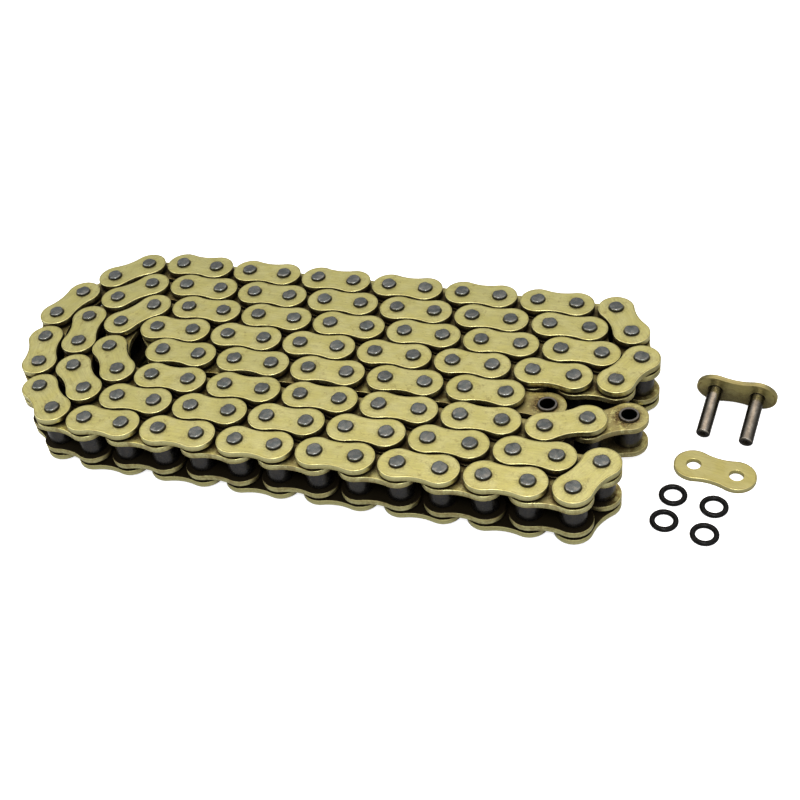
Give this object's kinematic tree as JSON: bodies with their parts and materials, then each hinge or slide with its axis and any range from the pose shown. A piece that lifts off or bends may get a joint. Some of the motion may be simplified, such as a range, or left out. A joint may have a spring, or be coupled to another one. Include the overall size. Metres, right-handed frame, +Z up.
{
  "type": "motorcycle drive chain",
  "caption": "Sealed-ring roller drive chain coiled flat in close rows, both ends open, with a rivet connecting link, cover plate and loose sealing rings beside it.",
  "frame": {"origin": "lower end of the first rivet pin of the coil, on the floor", "axes": "+Z up off the floor, X along the straight rows of the coil, -Y towards the front row"},
  "size_m": [0.3046, 0.1141, 0.0242],
  "materials": {
    "plates": "gold-coloured plating, finely brushed",
    "pins": "dark steel, satin",
    "bushes": "blackened steel, bright rim",
    "rollers": "blackened steel, lightly oiled",
    "seals": "black rubber, semi-gloss"
  },
  "bodies": {
    "coil": {"outer_plates_upper": "plates", "outer_plates_lower": "plates", "inner_plates_upper": "plates", "inner_plates_lower": "plates", "rivet_pins": "pins", "bushes": "bushes", "rollers": "rollers", "sealing_rings_upper": "seals", "sealing_rings_lower": "seals"},
    "first_link": {"first_link_plate_upper": "plates", "first_link_plate_lower": "plates", "first_link_bushes": "bushes", "first_link_sealing_rings": "seals"},
    "first_link_roller": {"first_link_roller": "rollers"},
    "first_link_open_roller": {"first_link_open_roller": "rollers"},
    "last_outer_link": {"last_outer_plate_upper": "plates", "last_outer_plate_lower": "plates", "last_outer_pins": "pins"},
    "last_link": {"last_link_plate_upper": "plates", "last_link_plate_lower": "plates", "last_link_bushes": "bushes", "last_link_sealing_rings": "seals"},
    "last_link_roller": {"last_link_roller": "rollers"},
    "last_link_open_roller": {"last_link_open_roller": "rollers"},
    "connecting_link": {"connecting_plate": "plates", "connecting_pin_left": "pins", "connecting_pin_right": "pins"},
    "cover_plate": {"cover_plate": "plates"},
    "loose_sealing_ring_1": {"loose_sealing_ring_1": "seals"},
    "loose_sealing_ring_2": {"loose_sealing_ring_2": "seals"},
    "loose_sealing_ring_3": {"loose_sealing_ring_3": "seals"},
    "loose_sealing_ring_4": {"loose_sealing_ring_4": "seals"},
    "front_roller_1": {"front_roller_1": "rollers"},
    "front_roller_2": {"front_roller_2": "rollers"},
    "front_roller_3": {"front_roller_3": "rollers"},
    "front_roller_4": {"front_roller_4": "rollers"},
    "front_roller_5": {"front_roller_5": "rollers"},
    "front_roller_6": {"front_roller_6": "rollers"},
    "front_roller_7": {"front_roller_7": "rollers"},
    "front_roller_8": {"front_roller_8": "rollers"},
    "front_roller_9": {"front_roller_9": "rollers"},
    "front_roller_10": {"front_roller_10": "rollers"},
    "front_roller_11": {"front_roller_11": "rollers"},
    "front_roller_12": {"front_roller_12": "rollers"},
    "front_roller_13": {"front_roller_13": "rollers"},
    "bend_roller_1": {"bend_roller_1": "rollers"},
    "bend_roller_2": {"bend_roller_2": "rollers"},
    "bend_roller_3": {"bend_roller_3": "rollers"},
    "bend_roller_4": {"bend_roller_4": "rollers"},
    "bend_roller_5": {"bend_roller_5": "rollers"},
    "bend_roller_6": {"bend_roller_6": "rollers"},
    "bend_roller_7": {"bend_roller_7": "rollers"},
    "bend_roller_8": {"bend_roller_8": "rollers"},
    "bend_roller_9": {"bend_roller_9": "rollers"}
  },
  "joints": [
    {"name": "last_outer_hinge", "type": "hinge", "parent": "coil", "child": "last_outer_link", "pos_m": [0.01798, -0.01508, 0.01212], "axis": [0, 0, 1], "range_deg": [-21, 1]},
    {"name": "last_link_hinge", "type": "hinge", "parent": "last_outer_link", "child": "last_link", "pos_m": [0.03237, -0.00837, 0.01212], "axis": [0, 0, 1], "range_deg": [-18, 3]},
    {"name": "first_link_hinge", "type": "hinge", "parent": "coil", "child": "first_link", "pos_m": [0, 0, 0.01212], "axis": [0, 0, 1], "range_deg": [-0.8, 4]},
    {"name": "connecting_link_lift", "type": "slide", "parent": "coil", "child": "connecting_link", "axis": [0, 0, 1], "range_m": [0, 0.06]},
    {"name": "cover_plate_lift", "type": "slide", "parent": "coil", "child": "cover_plate", "axis": [0, 0, 1], "range_m": [0, 0.04]},
    {"name": "sealing_ring_1_lift", "type": "slide", "parent": "coil", "child": "loose_sealing_ring_1", "axis": [0, 0, 1], "range_m": [0, 0.03]},
    {"name": "sealing_ring_2_lift", "type": "slide", "parent": "coil", "child": "loose_sealing_ring_2", "axis": [0, 0, 1], "range_m": [0, 0.03]},
    {"name": "sealing_ring_3_lift", "type": "slide", "parent": "coil", "child": "loose_sealing_ring_3", "axis": [0, 0, 1], "range_m": [0, 0.03]},
    {"name": "sealing_ring_4_lift", "type": "slide", "parent": "coil", "child": "loose_sealing_ring_4", "axis": [0, 0, 1], "range_m": [0, 0.03]},
    {"name": "last_link_open_roller_spin", "type": "hinge", "parent": "last_link", "child": "last_link_open_roller", "pos_m": [0.04625, -0.00067, 0.01212], "axis": [0, 0, 1], "continuous": true},
    {"name": "last_link_roller_spin", "type": "hinge", "parent": "last_link", "child": "last_link_roller", "pos_m": [0.03237, -0.00837, 0.01212], "axis": [0, 0, 1], "continuous": true},
    {"name": "first_link_open_roller_spin", "type": "hinge", "parent": "first_link", "child": "first_link_open_roller", "pos_m": [0.01587, -0.00042, 0.01212], "axis": [0, 0, 1], "continuous": true},
    {"name": "first_link_roller_spin", "type": "hinge", "parent": "first_link", "child": "first_link_roller", "pos_m": [0, 0, 0.01212], "axis": [0, 0, 1], "continuous": true},
    {"name": "front_roller_1_spin", "type": "hinge", "parent": "coil", "child": "front_roller_1", "pos_m": [-0.15658, -0.04324, 0.01212], "axis": [0, 0, 1], "continuous": true},
    {"name": "front_roller_2_spin", "type": "hinge", "parent": "coil", "child": "front_roller_2", "pos_m": [-0.1407, -0.04324, 0.01212], "axis": [0, 0, 1], "continuous": true},
    {"name": "front_roller_3_spin", "type": "hinge", "parent": "coil", "child": "front_roller_3", "pos_m": [-0.12483, -0.04324, 0.01212], "axis": [0, 0, 1], "continuous": true},
    {"name": "front_roller_4_spin", "type": "hinge", "parent": "coil", "child": "front_roller_4", "pos_m": [-0.10895, -0.04324, 0.01212], "axis": [0, 0, 1], "continuous": true},
    {"name": "front_roller_5_spin", "type": "hinge", "parent": "coil", "child": "front_roller_5", "pos_m": [-0.09308, -0.04324, 0.01212], "axis": [0, 0, 1], "continuous": true},
    {"name": "front_roller_6_spin", "type": "hinge", "parent": "coil", "child": "front_roller_6", "pos_m": [-0.0772, -0.04324, 0.01212], "axis": [0, 0, 1], "continuous": true},
    {"name": "front_roller_7_spin", "type": "hinge", "parent": "coil", "child": "front_roller_7", "pos_m": [-0.06133, -0.04324, 0.01212], "axis": [0, 0, 1], "continuous": true},
    {"name": "front_roller_8_spin", "type": "hinge", "parent": "coil", "child": "front_roller_8", "pos_m": [-0.04545, -0.04324, 0.01212], "axis": [0, 0, 1], "continuous": true},
    {"name": "front_roller_9_spin", "type": "hinge", "parent": "coil", "child": "front_roller_9", "pos_m": [-0.02958, -0.04324, 0.01212], "axis": [0, 0, 1], "continuous": true},
    {"name": "front_roller_10_spin", "type": "hinge", "parent": "coil", "child": "front_roller_10", "pos_m": [-0.0137, -0.04324, 0.01212], "axis": [0, 0, 1], "continuous": true},
    {"name": "front_roller_11_spin", "type": "hinge", "parent": "coil", "child": "front_roller_11", "pos_m": [0.00217, -0.04324, 0.01212], "axis": [0, 0, 1], "continuous": true},
    {"name": "front_roller_12_spin", "type": "hinge", "parent": "coil", "child": "front_roller_12", "pos_m": [0.01805, -0.04324, 0.01212], "axis": [0, 0, 1], "continuous": true},
    {"name": "front_roller_13_spin", "type": "hinge", "parent": "coil", "child": "front_roller_13", "pos_m": [0.03392, -0.04324, 0.01212], "axis": [0, 0, 1], "continuous": true},
    {"name": "bend_roller_1_spin", "type": "hinge", "parent": "coil", "child": "bend_roller_1", "pos_m": [-0.15871, 0.05632, 0.01212], "axis": [0, 0, 1], "continuous": true},
    {"name": "bend_roller_2_spin", "type": "hinge", "parent": "coil", "child": "bend_roller_2", "pos_m": [-0.17434, 0.05356, 0.01212], "axis": [0, 0, 1], "continuous": true},
    {"name": "bend_roller_3_spin", "type": "hinge", "parent": "coil", "child": "bend_roller_3", "pos_m": [-0.18595, 0.04274, 0.01212], "axis": [0, 0, 1], "continuous": true},
    {"name": "bend_roller_4_spin", "type": "hinge", "parent": "coil", "child": "bend_roller_4", "pos_m": [-0.19506, 0.02973, 0.01212], "axis": [0, 0, 1], "continuous": true},
    {"name": "bend_roller_5_spin", "type": "hinge", "parent": "coil", "child": "bend_roller_5", "pos_m": [-0.19997, 0.01463, 0.01212], "axis": [0, 0, 1], "continuous": true},
    {"name": "bend_roller_6_spin", "type": "hinge", "parent": "coil", "child": "bend_roller_6", "pos_m": [-0.19694, -0.00095, 0.01212], "axis": [0, 0, 1], "continuous": true},
    {"name": "bend_roller_7_spin", "type": "hinge", "parent": "coil", "child": "bend_roller_7", "pos_m": [-0.19177, -0.01596, 0.01212], "axis": [0, 0, 1], "continuous": true},
    {"name": "bend_roller_8_spin", "type": "hinge", "parent": "coil", "child": "bend_roller_8", "pos_m": [-0.18383, -0.02971, 0.01212], "axis": [0, 0, 1], "continuous": true},
    {"name": "bend_roller_9_spin", "type": "hinge", "parent": "coil", "child": "bend_roller_9", "pos_m": [-0.17222, -0.04053, 0.01212], "axis": [0, 0, 1], "continuous": true}
  ]
}
